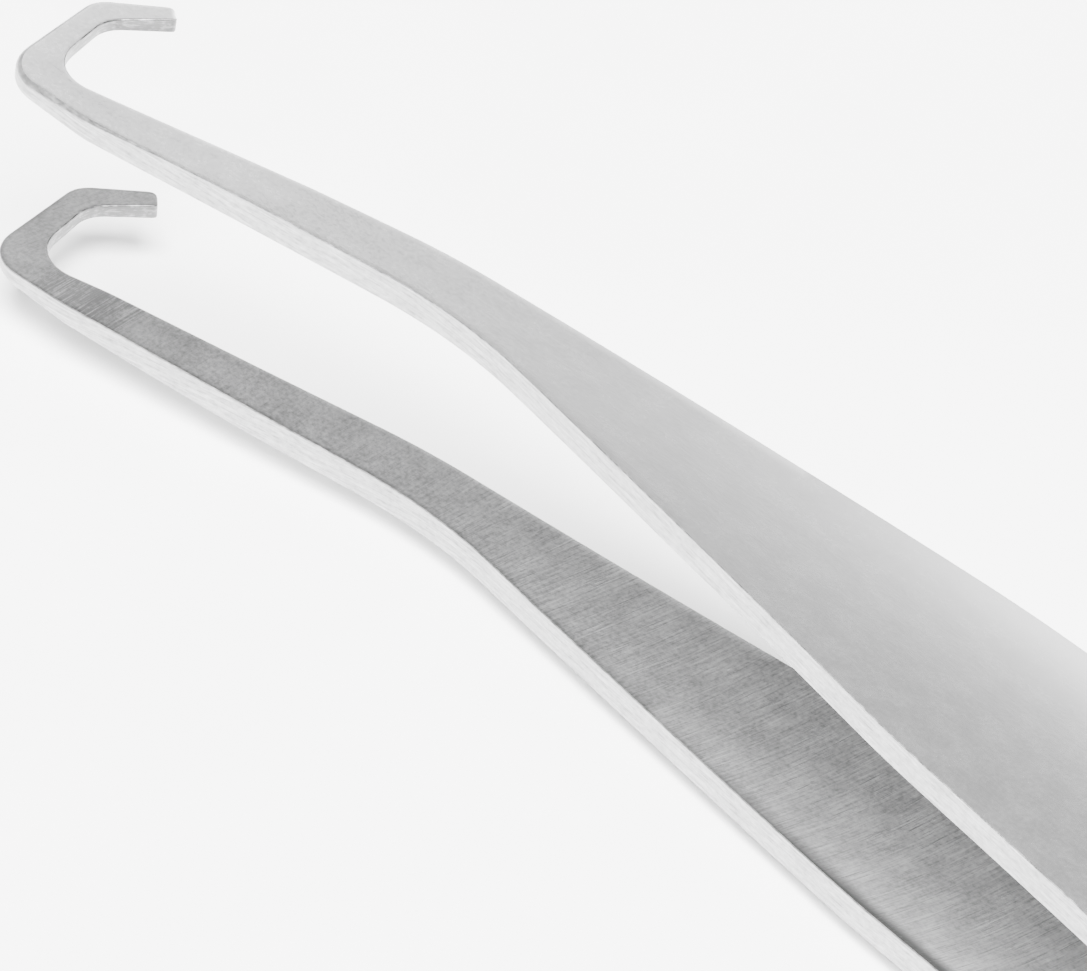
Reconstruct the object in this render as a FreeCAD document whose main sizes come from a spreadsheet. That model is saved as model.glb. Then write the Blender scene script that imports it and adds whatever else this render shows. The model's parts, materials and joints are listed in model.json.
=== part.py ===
import FreeCAD, Part
import math
import os
import Sketcher

# Hook-tipped sheet-steel tweezers, lying on a flat surface, in millimetres.
#
# Each sub-part is drawn in the tool frame of the closed tweezers: x runs back from the
# front of the hooks to the heel, y runs across the blade, and z = 0 is the plane where
# the two jaws meet. The upper arm is drawn above that plane and the lower arm is its
# mirror image. Placements then open each arm about its flex line and lay the whole tool
# down, with the origin at the bottom centre of its bounding box.

os.makedirs("parts", exist_ok=True)
doc = FreeCAD.newDocument("HookTweezers")
sizes = doc.addObject("Spreadsheet::Sheet", "Sizes")

X_AXIS = FreeCAD.Vector(1, 0, 0)
Y_AXIS = FreeCAD.Vector(0, 1, 0)
ORIGIN_POINT = (-1, 1)      # geometry index and vertex of a sketch's origin
UPRIGHT_AXIS = -2           # geometry index of its upright axis
KEPT_SHARES = (0.25, 0.75)  # what the outline may leave of an arm's blank, by volume
HOLE_TOLERANCE = 0.01       # allowed difference between two like holes, by volume


# ---------------------------------------------------------------- driving dimensions

class Sheet:
    """Writes named cells one under the other and reads them back."""

    def __init__(self, sheet):
        self.sheet = sheet
        self.row = 0

    def add(self, **cells):
        for alias, value in cells.items():
            self.row += 1
            self.sheet.set("A%d" % self.row, alias.replace("_", " "))
            self.sheet.set("B%d" % self.row, str(value))
            self.sheet.setAlias("B%d" % self.row, alias)
        self.sheet.recompute()

    def __getitem__(self, alias):
        return float(self.sheet.get(alias))


cell = Sheet(sizes)

cell.add(
    sheet_thickness=1.5,
    open_angle=2.65,        # each arm, between touching jaws and the sprung-open rest
    flex_line_x=118,        # where the arm bends away from the heel
    heel_end_x=155,
    heel_half_width=5,
    spacer_front_x=138,
    spacer_thickness=3.6,
    rivet_radius=1.5,
    rivet_head_depth=0.7,
    first_rivet_x=143,
    rivet_pitch=7,
    blank_half_width=9,     # the blank that the plan outline is cut from
    cut_depth=20,
    jaw_front_x=-1,
    jaw_front_thickness=0.45,
    jaw_back_x=9,
    jaw_back_thickness=1.2,
)

# Plan outline of an arm, as straight runs with a round corner of the given radius at
# each point. Near side: from the tip round the outside of the hook, along the swerving
# neck and the near edge of the blade. Far side: back from the flex line to the tip,
# round the inside of the hook. The two end points of each side are sharp.
NEAR_SIDE = (
    # name, x, y, radius
    ("tip_outer", 2.62, 3.82, 0),
    ("hook_elbow_outer", -0.14, 0.6, 1.5),
    ("hook_root_outer", 2.42, -7.44, 3.2),
    ("bulge", 8.7, -6.95, 9),
    ("neck_shoulder", 32.1, -2.15, 31),
    ("blade_near", 67, -6.0, 85),
    ("grip_near", 90, -7.4, 60),
    ("waist_near", 114, -5, 60),
    ("flex_near", 118, -5, 0),
)
FAR_SIDE = (
    ("flex_far", 118, 5, 0),
    ("waist_far", 114, 5, 60),
    ("grip_far", 90, 7.4, 60),
    ("blade_far", 65, 6.1, 90),
    ("neck_far", 27.96, 0.86, 48),
    ("hook_root_inner", 3.94, -5.69, 3.2),
    ("hook_elbow_inner", 1.75, -0.1, 1.9),
    ("tip_inner", 3.7, 3.0, 0),
)
for name, x, y, radius in NEAR_SIDE + FAR_SIDE:
    cell.add(**{name + "_x": x, name + "_y": y})
    if radius:
        cell.add(**{name + "_radius": radius})

# Cross-sections of the bowed blade behind the jaw. rise is the height of the inner face
# on the blade's centre line; a crowned section is an arc across the blade.
STATIONS = (
    # name, x, rise, crown radius (0 where the section is flat)
    ("neck", 20, 0.57, 0),
    ("swerve", 34, 1.18, 0),
    ("shoulder", 50, 1.78, 60),
    ("blade", 67, 2.43, 32),
    ("grip", 85, 2.8, 30),
    ("waist", 101, 2.24, 60),
    ("wrist", 111, 1.86, 0),
    ("flex", 118, 1.8, 0),
)
for name, x, rise, crown in STATIONS:
    cell.add(**{name + "_station": x, name + "_rise": rise})
    if crown:
        cell.add(**{name + "_crown": crown})


# ------------------------------------------------------------------- sketch helpers

def origin_plane(body, role):
    for feature in body.Origin.OriginFeatures:
        if feature.Role == role:
            return feature
    raise RuntimeError("no %s in %s" % (role, body.Label))


def new_body(label):
    body = doc.addObject("PartDesign::Body", label)
    body.Label = label
    return body


def new_sketch(body, role, name):
    sketch = body.newObject("Sketcher::SketchObject", name)
    sketch.AttachmentSupport = (origin_plane(body, role), [""])
    sketch.MapMode = "FlatFace"
    return sketch


class Rules:
    """Gathers a sketch's constraints, adds them together and binds their sizes."""

    def __init__(self, sketch):
        self.sketch = sketch
        self.constraints = []
        self.expressions = []

    def tie(self, kind, *where):
        self.constraints.append(Sketcher.Constraint(kind, *where))

    def size(self, kind, where, value, expression):
        self.expressions.append((len(self.constraints), expression))
        self.constraints.append(Sketcher.Constraint(kind, *where, value))

    def point(self, geometry, vertex, point, x_expression, y_expression):
        """Ties one vertex to the sketch origin with two bound distances."""
        where = (*ORIGIN_POINT, geometry, vertex)
        self.size("DistanceX", where, point.x, x_expression)
        self.size("DistanceY", where, point.y, y_expression)

    def apply(self):
        first = self.sketch.ConstraintCount
        self.sketch.addConstraint(self.constraints)
        for index, expression in self.expressions:
            self.sketch.setExpression("Constraints[%d]" % (first + index), expression)
        if self.sketch.solve() != 0:
            raise RuntimeError("%s can't be solved" % self.sketch.Label)


def draw_chain(sketch, points):
    """Draws straight runs from point to point and back to the first."""
    count = len(points)
    return [sketch.addGeometry(Part.LineSegment(points[i], points[(i + 1) % count]), False)
            for i in range(count)]


def corner_arc(before, corner, after, radius):
    """The arc that rounds a corner: its start, its middle and its end."""
    to_before = (before - corner).normalize()
    to_after = (after - corner).normalize()
    half_angle = to_before.getAngle(to_after) / 2
    tangent_length = radius / math.tan(half_angle)
    middle_line = (to_before + to_after).normalize()
    middle = corner + middle_line * (radius / math.sin(half_angle) - radius)
    return corner + to_before * tangent_length, middle, corner + to_after * tangent_length


def rounded_outline(sketch, corners, hand):
    """Draws a closed outline of straight runs with round corners.

    corners holds (x alias, y alias, radius alias or None) in order. Every corner is a
    construction point tied to its cells, the runs pass through the points, and each
    round corner is an arc that is tangent to both of its runs. A sketch's arcs always run
    counter-clockwise, so an arc in a right-hand turn starts where its second run does.
    A hand of -1 draws the outline turned over, with every y reversed.
    """
    count = len(corners)
    points = [FreeCAD.Vector(cell[x], hand * cell[y], 0) for x, y, _ in corners]
    arcs = {}
    for i, (_, _, radius) in enumerate(corners):
        if radius:
            arcs[i] = corner_arc(points[i - 1], points[i], points[(i + 1) % count],
                                 cell[radius])
    run_starts = [arcs[i][2] if i in arcs else points[i] for i in range(count)]
    run_ends = [arcs[i][0] if i in arcs else points[i] for i in range(count)]
    runs = [sketch.addGeometry(Part.LineSegment(run_starts[i], run_ends[(i + 1) % count]),
                               False) for i in range(count)]

    rules = Rules(sketch)
    for i, (x_alias, y_alias, radius) in enumerate(corners):
        before, after = runs[i - 1], runs[i]
        anchor = after
        if radius:
            turns_left = (points[i] - points[i - 1]).cross(run_ends[(i + 1) % count]
                                                           - points[i]).z > 0
            arc_points = arcs[i] if turns_left else arcs[i][::-1]
            arc = sketch.addGeometry(Part.Arc(*arc_points), False)
            anchor = sketch.addGeometry(Part.Point(points[i]), True)
            rules.tie("Tangent", before, 2, arc, 1 if turns_left else 2)
            rules.tie("Tangent", after, 1, arc, 2 if turns_left else 1)
            rules.tie("PointOnObject", anchor, 1, before)
            rules.tie("PointOnObject", anchor, 1, after)
            rules.size("Radius", (arc,), cell[radius], "Sizes." + radius)
        else:
            rules.tie("Coincident", before, 2, after, 1)
        rules.point(anchor, 1, points[i], "Sizes." + x_alias,
                    "%d * Sizes.%s" % (hand, y_alias))
    rules.apply()


def box_outline(sketch, x_low, x_high, y_low, y_high):
    """Draws a rectangle from four pairs of (value, expression)."""
    marks = ((x_low, y_low), (x_high, y_low), (x_high, y_high), (x_low, y_high))
    points = [FreeCAD.Vector(x[0], y[0], 0) for x, y in marks]
    runs = draw_chain(sketch, points)
    rules = Rules(sketch)
    for i, (x, y) in enumerate(marks):
        rules.tie("Coincident", runs[i - 1], 2, runs[i], 1)
        rules.point(runs[i], 1, points[i], x[1], y[1])
    rules.apply()


# --------------------------------------------------------------------- arm sections

def section_sketch(body, name, x_expression):
    sketch = new_sketch(body, "YZ_Plane", name)
    sketch.setExpression("AttachmentOffset.Base.z", x_expression)
    return sketch


def flat_section(body, name, x_expression, rise, thickness):
    """A flat strip of the blank; rise and thickness are (value, expression)."""
    sketch = section_sketch(body, name, x_expression)
    half = cell["blank_half_width"]
    top = (rise[0] + thickness[0], "%s + %s" % (rise[1], thickness[1]))
    box_outline(sketch, (-half, "-Sizes.blank_half_width"),
                (half, "Sizes.blank_half_width"), rise, top)
    return sketch


def crowned_section(body, station):
    """A strip of the blank that arches outwards about one centre on the blade's axis."""
    sketch = section_sketch(body, station + "_section", "Sizes.%s_station" % station)
    half = cell["blank_half_width"]
    inner_radius = cell[station + "_crown"]
    outer_radius = inner_radius + cell["sheet_thickness"]
    centre_height = cell[station + "_rise"] - inner_radius

    def on_arc(radius, y):
        return FreeCAD.Vector(y, centre_height + math.sqrt(radius ** 2 - y ** 2), 0)

    inner, outer = [
        sketch.addGeometry(Part.Arc(on_arc(radius, half), on_arc(radius, 0),
                                    on_arc(radius, -half)), False)
        for radius in (inner_radius, outer_radius)]
    rules = Rules(sketch)
    for vertex, reach, sign in ((1, half, ""), (2, -half, "-")):
        side = sketch.addGeometry(Part.LineSegment(on_arc(inner_radius, reach),
                                                   on_arc(outer_radius, reach)), False)
        rules.tie("Coincident", side, 1, inner, vertex)
        rules.tie("Coincident", side, 2, outer, vertex)
        rules.tie("Vertical", side)
        rules.size("DistanceX", (*ORIGIN_POINT, side, 1), reach,
                   sign + "Sizes.blank_half_width")
    rules.tie("Coincident", inner, 3, outer, 3)
    rules.tie("PointOnObject", inner, 3, UPRIGHT_AXIS)
    rules.size("DistanceY", (*ORIGIN_POINT, inner, 3), centre_height,
               "Sizes.{0}_rise - Sizes.{0}_crown".format(station))
    rules.size("Radius", (inner,), inner_radius, "Sizes.%s_crown" % station)
    rules.size("Radius", (outer,), outer_radius,
               "Sizes.%s_crown + Sizes.sheet_thickness" % station)
    rules.apply()
    return sketch


def loft(body, name, sections, ruled):
    feature = body.newObject("PartDesign::AdditiveLoft", name)
    feature.Profile = sections[0]
    feature.Sections = sections[1:]
    feature.Ruled = ruled
    doc.recompute()


def arm_blank(body):
    """The uncut strip: a jaw ground thin towards the tip, then the bowed blade."""
    flat = (0.0, "0")
    jaw_front = flat_section(body, "jaw_front_section", "Sizes.jaw_front_x", flat,
                             (cell["jaw_front_thickness"], "Sizes.jaw_front_thickness"))
    back_thickness = (cell["jaw_back_thickness"], "Sizes.jaw_back_thickness")
    jaw_back = flat_section(body, "jaw_back_section", "Sizes.jaw_back_x", flat,
                            back_thickness)
    loft(body, "ground_jaw", [jaw_front, jaw_back], ruled=True)

    full_thickness = (cell["sheet_thickness"], "Sizes.sheet_thickness")
    sections = [flat_section(body, "blade_front_section", "Sizes.jaw_back_x", flat,
                             back_thickness)]
    for name, _, _, crown in STATIONS:
        if crown:
            sections.append(crowned_section(body, name))
        else:
            rise = (cell[name + "_rise"], "Sizes.%s_rise" % name)
            sections.append(flat_section(body, name + "_section",
                                         "Sizes.%s_station" % name, rise, full_thickness))
    loft(body, "bowed_blade", sections, ruled=False)


def cut_to_outline(body, hand):
    """Pockets away everything outside the plan outline, and checks that it did."""
    blank_volume = body.Shape.Volume
    sketch = new_sketch(body, "XY_Plane", "plan_outline")
    margin = 4.0
    edge = cell["blank_half_width"] + margin
    box_outline(sketch,
                (cell["jaw_front_x"] - margin, "Sizes.jaw_front_x - %g" % margin),
                (cell["flex_line_x"] + margin, "Sizes.flex_line_x + %g" % margin),
                (-edge, "-Sizes.blank_half_width - %g" % margin),
                (edge, "Sizes.blank_half_width + %g" % margin))
    rounded_outline(sketch, [(name + "_x", name + "_y", name + "_radius" if radius else None)
                             for name, _, _, radius in NEAR_SIDE + FAR_SIDE], hand)
    pocket = body.newObject("PartDesign::Pocket", "trim_to_outline")
    pocket.Profile = sketch
    pocket.Type = "Length"
    pocket.SideType = "Symmetric"
    pocket.setExpression("Length", "Sizes.cut_depth")
    doc.recompute()
    kept = body.Shape.Volume / blank_volume
    if not KEPT_SHARES[0] < kept < KEPT_SHARES[1]:
        raise RuntimeError("the outline cut kept %.2f of the blank" % kept)


def arm(label, hand):
    """One arm in front of the flex line. The lower arm is cut with the outline turned
    over, because its placement then turns the whole arm over about the x axis."""
    body = new_body(label)
    arm_blank(body)
    cut_to_outline(body, hand)
    return body


# -------------------------------------------------------------------- heel sub-parts

def heel_outline(body, name, front_alias, height_expression):
    """The parallel-sided heel with its half-round end, drawn at the given height."""
    sketch = new_sketch(body, "XY_Plane", name)
    sketch.setExpression("AttachmentOffset.Base.z", height_expression)
    half, front, end = cell["heel_half_width"], cell[front_alias], cell["heel_end_x"]
    front_near, front_far = FreeCAD.Vector(front, -half, 0), FreeCAD.Vector(front, half, 0)
    end_near, end_far = (FreeCAD.Vector(end - half, -half, 0),
                         FreeCAD.Vector(end - half, half, 0))
    near_run, end_arc, far_run, front_run = [
        sketch.addGeometry(curve, False) for curve in (
            Part.LineSegment(front_near, end_near),
            Part.Arc(end_near, FreeCAD.Vector(end, 0, 0), end_far),
            Part.LineSegment(end_far, front_far),
            Part.LineSegment(front_far, front_near))]
    rules = Rules(sketch)
    rules.tie("Tangent", near_run, 2, end_arc, 1)
    rules.tie("Tangent", far_run, 1, end_arc, 2)
    rules.tie("Coincident", far_run, 2, front_run, 1)
    rules.tie("Coincident", front_run, 2, near_run, 1)
    rules.tie("Horizontal", near_run)
    rules.point(front_run, 2, front_near, "Sizes." + front_alias, "-Sizes.heel_half_width")
    rules.point(front_run, 1, front_far, "Sizes." + front_alias, "Sizes.heel_half_width")
    rules.point(end_arc, 3, FreeCAD.Vector(end - half, 0, 0),
                "Sizes.heel_end_x - Sizes.heel_half_width", "0")
    rules.apply()
    return sketch


def pad(body, name, sketch, length_expression, symmetric=False):
    feature = body.newObject("PartDesign::Pad", name)
    feature.Profile = sketch
    feature.Type = "Length"
    feature.SideType = "Symmetric" if symmetric else "One side"
    feature.setExpression("Length", length_expression)
    doc.recompute()


def rivet_profile(body, name, groove):
    """Half the section of the first rivet, to be turned about its upright axis."""
    sketch = new_sketch(body, "XZ_Plane", name)
    sketch.setExpression("AttachmentOffset.Base.x", "Sizes.first_rivet_x")
    shank, depth = cell["rivet_radius"], cell["rivet_head_depth"]
    end = cell["flex_rise"] + cell["sheet_thickness"]
    neck_cell = "Sizes.flex_rise + Sizes.sheet_thickness - Sizes.rivet_head_depth"
    end_cell = "Sizes.flex_rise + Sizes.sheet_thickness"
    head_cell = "Sizes.rivet_radius + Sizes.rivet_head_depth"
    outline = (
        (0, -end, "0", "-(%s)" % end_cell),
        (shank + depth, -end, head_cell, "-(%s)" % end_cell),
        (shank, depth - end, "Sizes.rivet_radius", "-(%s)" % neck_cell),
        (shank, end - depth, "Sizes.rivet_radius", neck_cell),
        (shank + depth, end, head_cell, end_cell),
        (0, end, "0", end_cell),
    )
    points = [FreeCAD.Vector(x, y, 0) for x, y, _, _ in outline]
    runs = draw_chain(sketch, points)
    rules = Rules(sketch)
    for i, (_, _, x_cell, y_cell) in enumerate(outline):
        rules.tie("Coincident", runs[i - 1], 2, runs[i], 1)
        rules.point(runs[i], 1, points[i], x_cell, y_cell)
    rules.apply()
    kind = "PartDesign::Groove" if groove else "PartDesign::Revolution"
    turned = body.newObject(kind, name.replace("profile", "turned"))
    turned.Profile = sketch
    turned.ReferenceAxis = (sketch, ["V_Axis"])
    turned.Angle = 360
    doc.recompute()
    return turned


def two_along(body, name, feature):
    """Repeats the first rivet or rivet hole one pitch further back."""
    pattern = body.newObject("PartDesign::LinearPattern", name)
    pattern.Originals = [feature]
    pattern.Direction = (origin_plane(body, "X_Axis"), [""])
    pattern.Mode = "Spacing"
    pattern.setExpression("Offset", "Sizes.rivet_pitch")
    pattern.Occurrences = 2
    body.Tip = pattern
    doc.recompute()


def drill_rivet_holes(body):
    solid_volume = body.Shape.Volume
    first = rivet_profile(body, "hole_profile", groove=True)
    one_hole = solid_volume - body.Shape.Volume
    two_along(body, "rivet_holes", first)
    both_holes = solid_volume - body.Shape.Volume
    if one_hole <= 0 or abs(both_holes - 2 * one_hole) > HOLE_TOLERANCE * one_hole:
        raise RuntimeError("the rivet holes in %s were not cut" % body.Label)


def arm_heel(label):
    """The flat end of an arm behind the flex line, with its countersunk holes."""
    body = new_body(label)
    sketch = heel_outline(body, "heel_outline", "flex_line_x", "Sizes.flex_rise")
    pad(body, "heel_plate", sketch, "Sizes.sheet_thickness")
    drill_rivet_holes(body)
    return body


def heel_spacer(label):
    body = new_body(label)
    sketch = heel_outline(body, "spacer_outline", "spacer_front_x", "0")
    pad(body, "spacer_block", sketch, "Sizes.spacer_thickness", symmetric=True)
    drill_rivet_holes(body)
    return body


def heel_rivets(label):
    body = new_body(label)
    first = rivet_profile(body, "rivet_profile", groove=False)
    two_along(body, "both_rivets", first)
    if len(body.Shape.Solids) != 2:
        raise RuntimeError("expected two rivets")
    return body


# ------------------------------------------------------------------------ placements

def rest_tilt():
    """The angle that lays the heel's end and the lower arm's belly on one surface.

    Each station's outer face, with its arm sprung open, is a possible point of support;
    the steepest line to the end of the heel is the surface that the tool lies on.
    """
    spring = math.sin(math.radians(cell["open_angle"]))
    heel_outer = cell["flex_rise"] + cell["sheet_thickness"]
    slopes = []
    for name, _, _, _ in STATIONS:
        x = cell[name + "_station"]
        outer = cell[name + "_rise"] + cell["sheet_thickness"]
        outer += spring * (cell["flex_line_x"] - x)
        slopes.append((outer - heel_outer) / (cell["heel_end_x"] - x))
    return math.degrees(math.atan(max(slopes)))


def flex_point(side):
    """A point on an arm's flex line: the outer edge of the cut, where the arm and its
    heel stay in touch while the inner edge of the cut opens by a hair."""
    return FreeCAD.Vector(cell["flex_line_x"], 0,
                          side * (cell["flex_rise"] + cell["sheet_thickness"]))


def turned_about(point, axis, angle):
    return FreeCAD.Placement(FreeCAD.Vector(), FreeCAD.Rotation(axis, angle), point)


def place_all(upper, lower, upper_heel, lower_heel, spacer, rivets):
    lay_down = turned_about(FreeCAD.Vector(), Y_AXIS, rest_tilt())
    turn_over = turned_about(FreeCAD.Vector(), X_AXIS, 180)
    spring_up = turned_about(flex_point(1), Y_AXIS, cell["open_angle"])
    spring_down = turned_about(flex_point(-1), Y_AXIS, -cell["open_angle"])
    in_tool_frame = (
        (upper, spring_up),
        (lower, spring_down * turn_over),
        (upper_heel, FreeCAD.Placement()),
        (lower_heel, turn_over),
        (spacer, FreeCAD.Placement()),
        (rivets, FreeCAD.Placement()),
    )
    for body, placement in in_tool_frame:
        body.Placement = lay_down * placement
    doc.recompute()

    whole = Part.makeCompound([body.Shape for body, _ in in_tool_frame])
    box = whole.optimalBoundingBox(False, False)
    to_origin = FreeCAD.Placement(FreeCAD.Vector(-box.Center.x, -box.Center.y, -box.ZMin),
                                  FreeCAD.Rotation())
    for body, placement in in_tool_frame:
        body.Placement = to_origin * lay_down * placement
    doc.recompute()
    return to_origin * lay_down


def check_document(parts):
    for thing in doc.Objects:
        if "Invalid" in thing.State or "Error" in thing.State:
            raise RuntimeError("%s failed: %s" % (thing.Label, thing.State))
    for part in parts:
        if part.Shape.isNull() or not part.Shape.isValid():
            raise RuntimeError("%s has no valid shape" % part.Label)


def main():
    parts = [
        arm("upper_arm", 1),
        arm("lower_arm", -1),
        arm_heel("upper_arm_heel"),
        arm_heel("lower_arm_heel"),
        heel_spacer("heel_spacer"),
        heel_rivets("heel_rivets"),
    ]
    tool_frame = place_all(*parts)
    check_document(parts)

    print("rest tilt %.4f deg, tool frame at" % rest_tilt(), tool_frame.Base)
    for name, side in (("upper", 1), ("lower", -1)):
        print(name, "flex line through", tool_frame.multVec(flex_point(side)))
    for part in parts:
        box = part.Shape.optimalBoundingBox(False, False)
        print("%-15s %d solid(s) %8.1f mm3  x %.2f %.2f  y %.2f %.2f  z %.2f %.2f" % (
            part.Label, len(part.Shape.Solids), part.Shape.Volume,
            box.XMin, box.XMax, box.YMin, box.YMax, box.ZMin, box.ZMax))
        part.Shape.exportStep("parts/%s.step" % part.Label)


main()
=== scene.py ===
import json
import math

import bmesh
import bpy
from mathutils import Matrix, Vector


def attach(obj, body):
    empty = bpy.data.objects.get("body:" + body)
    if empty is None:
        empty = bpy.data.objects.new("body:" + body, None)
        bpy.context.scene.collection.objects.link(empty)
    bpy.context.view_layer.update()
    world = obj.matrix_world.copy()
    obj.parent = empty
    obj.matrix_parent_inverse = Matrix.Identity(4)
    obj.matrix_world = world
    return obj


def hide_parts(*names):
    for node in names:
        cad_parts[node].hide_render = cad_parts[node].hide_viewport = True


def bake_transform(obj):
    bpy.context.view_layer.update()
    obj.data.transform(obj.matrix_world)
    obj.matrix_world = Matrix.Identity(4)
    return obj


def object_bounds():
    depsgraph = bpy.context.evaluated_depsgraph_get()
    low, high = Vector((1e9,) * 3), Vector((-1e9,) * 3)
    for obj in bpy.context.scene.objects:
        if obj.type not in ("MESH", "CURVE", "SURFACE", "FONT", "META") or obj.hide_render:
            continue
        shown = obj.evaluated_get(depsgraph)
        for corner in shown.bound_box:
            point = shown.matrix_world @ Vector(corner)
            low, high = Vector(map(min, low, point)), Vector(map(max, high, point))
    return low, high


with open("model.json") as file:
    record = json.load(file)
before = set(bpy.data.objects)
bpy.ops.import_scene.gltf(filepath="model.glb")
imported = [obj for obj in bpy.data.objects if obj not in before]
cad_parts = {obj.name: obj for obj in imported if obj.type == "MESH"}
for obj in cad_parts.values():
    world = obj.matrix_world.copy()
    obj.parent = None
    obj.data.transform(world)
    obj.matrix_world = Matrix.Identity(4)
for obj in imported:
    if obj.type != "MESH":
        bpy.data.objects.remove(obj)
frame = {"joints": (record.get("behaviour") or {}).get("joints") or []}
CAD_BOX = [list(corner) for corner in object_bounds()]

bl_info = {
    "name": "Hook-tipped tweezers",
    "version": (1, 0, 0),
    "blender": (4, 5, 0),
    "location": "3D View > Sidebar > Tweezers",
    "description": "Builds sprung sheet-steel tweezers with hooked jaws around their frame",
    "category": "Object",
}

MM = 0.001


# ----------------------------------------------------------------------- tool frame
# The tweezers are described in their own frame, in millimetres: x runs back from the
# front of the hooks to the heel, y across the blades, and z = 0 lies between the arms.
# The two flex lines of the frame say where that frame lies in the row frame.

FLEX_X = 118.0
FLEX_HEIGHT = 3.3
HEEL_END_X = 155.0
HEEL_HALF_WIDTH = 5.0
OPEN_ANGLE = math.radians(2.65)


def joint_point(name):
    joint = next(j for j in frame["joints"] if j["name"] == name)
    return Vector(joint["pos_m"])


def tool_matrix():
    """Takes a point in the tool frame, in millimetres, to the row frame."""
    upper, lower = joint_point("upper_arm_flex"), joint_point("lower_arm_flex")
    closing = (upper - lower).normalized()
    back = Vector((0.0, 1.0, 0.0)).cross(closing)
    origin = (upper + lower) / 2 - back * FLEX_X * MM
    axes = Matrix((back, Vector((0.0, 1.0, 0.0)), closing)).transposed()
    return Matrix.Translation(origin) @ (axes * MM).to_4x4()


TOOL = tool_matrix()


# --------------------------------------------------------------------------- outline
# Corners of the plan outline of an arm: x, y and the radius that rounds the corner.

NEAR_CORNERS = (
    (2.62, 3.82, 0.0),
    (-0.14, 0.6, 1.5),
    (2.42, -7.44, 3.2),
    (8.7, -6.95, 9.0),
    (32.1, -2.15, 31.0),
    (67.0, -6.0, 85.0),
    (90.0, -7.4, 60.0),
    (114.0, -5.0, 60.0),
    (FLEX_X, -HEEL_HALF_WIDTH, 0.0),
)
FAR_CORNERS = (
    (3.7, 3.0, 0.0),
    (1.75, -0.1, 1.9),
    (3.94, -5.69, 3.2),
    (27.96, 0.86, 48.0),
    (65.0, 6.1, 90.0),
    (90.0, 7.4, 60.0),
    (114.0, 5.0, 60.0),
    (FLEX_X, HEEL_HALF_WIDTH, 0.0),
)
HOOK_END_X = 12.0       # from here on a rung runs straight across the blade


HALVINGS = 40           # of the search for a place along a side


class Line:
    """A straight run between two points."""

    def __init__(self, start, end):
        self.start, self.end = start, end
        self.length = (end - start).length
        self.direction = (end - start) / self.length

    def at(self, distance):
        return self.start + self.direction * distance, self.direction


class Arc:
    """An arc by its centre, start point, signed turn and radius."""

    def __init__(self, centre, start, turn):
        self.centre, self.turn = centre, turn
        self.arm = start - centre
        self.length = self.arm.length * abs(turn)

    def at(self, distance):
        angle = self.turn * distance / self.length
        arm = Matrix.Rotation(angle, 2) @ self.arm
        heading = Vector((-arm.y, arm.x)).normalized()
        return self.centre + arm, heading if self.turn > 0 else -heading


class Outline:
    """One side of the plan outline: straight runs with round corners."""

    def __init__(self, corners):
        points = [Vector(corner[:2]) for corner in corners]
        self.pieces = []
        self.corner_middles = []
        here = points[0]
        for i in range(1, len(corners) - 1):
            radius = corners[i][2]
            to_before = (points[i - 1] - points[i]).normalized()
            to_after = (points[i + 1] - points[i]).normalized()
            half = to_before.angle(to_after) / 2
            reach = radius / math.tan(half)
            start, end = points[i] + to_before * reach, points[i] + to_after * reach
            middle = (to_before + to_after).normalized()
            centre = points[i] + middle * (radius / math.sin(half))
            side = to_before.x * to_after.y - to_before.y * to_after.x
            turn = math.copysign(math.pi - 2 * half, -side)
            self.pieces.append(Line(here, start))
            self.pieces.append(Arc(centre, start, turn))
            self.corner_middles.append(self.length() - self.pieces[-1].length / 2)
            here = end
        self.pieces.append(Line(here, points[-1]))

    def length(self):
        return sum(piece.length for piece in self.pieces)

    def at(self, distance):
        """The point and the heading at a distance along the side."""
        for piece in self.pieces[:-1]:
            if distance <= piece.length:
                return piece.at(distance)
            distance -= piece.length
        return self.pieces[-1].at(distance)

    def distance_at_x(self, x):
        """Distance along the side at which it passes x, behind the hook."""
        low, high = self.corner_middles[1], self.length()
        for _ in range(HALVINGS):
            middle = (low + high) / 2
            if self.at(middle)[0].x < x:
                low = middle
            else:
                high = middle
        return low


NEAR = Outline(NEAR_CORNERS)
FAR = Outline(FAR_CORNERS)


# ---------------------------------------------------------------------- arm heights
# Height of the inner face on the blade's centre line, and the crown's curvature, at
# stations along the closed arm.

STATIONS = (
    # x, rise, crown radius (0 where flat)
    (9.0, 0.0, 0.0),
    (20.0, 0.57, 0.0),
    (34.0, 1.18, 0.0),
    (50.0, 1.78, 60.0),
    (67.0, 2.43, 32.0),
    (85.0, 2.8, 30.0),
    (101.0, 2.24, 60.0),
    (111.0, 1.86, 0.0),
    (118.0, 1.8, 0.0),
    (HEEL_END_X, 1.8, 0.0),
)
SHEET = 1.5
THICKNESS_STATIONS = ((-1.0, 0.45), (9.0, 1.2), (20.0, SHEET), (HEEL_END_X, SHEET))


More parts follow.
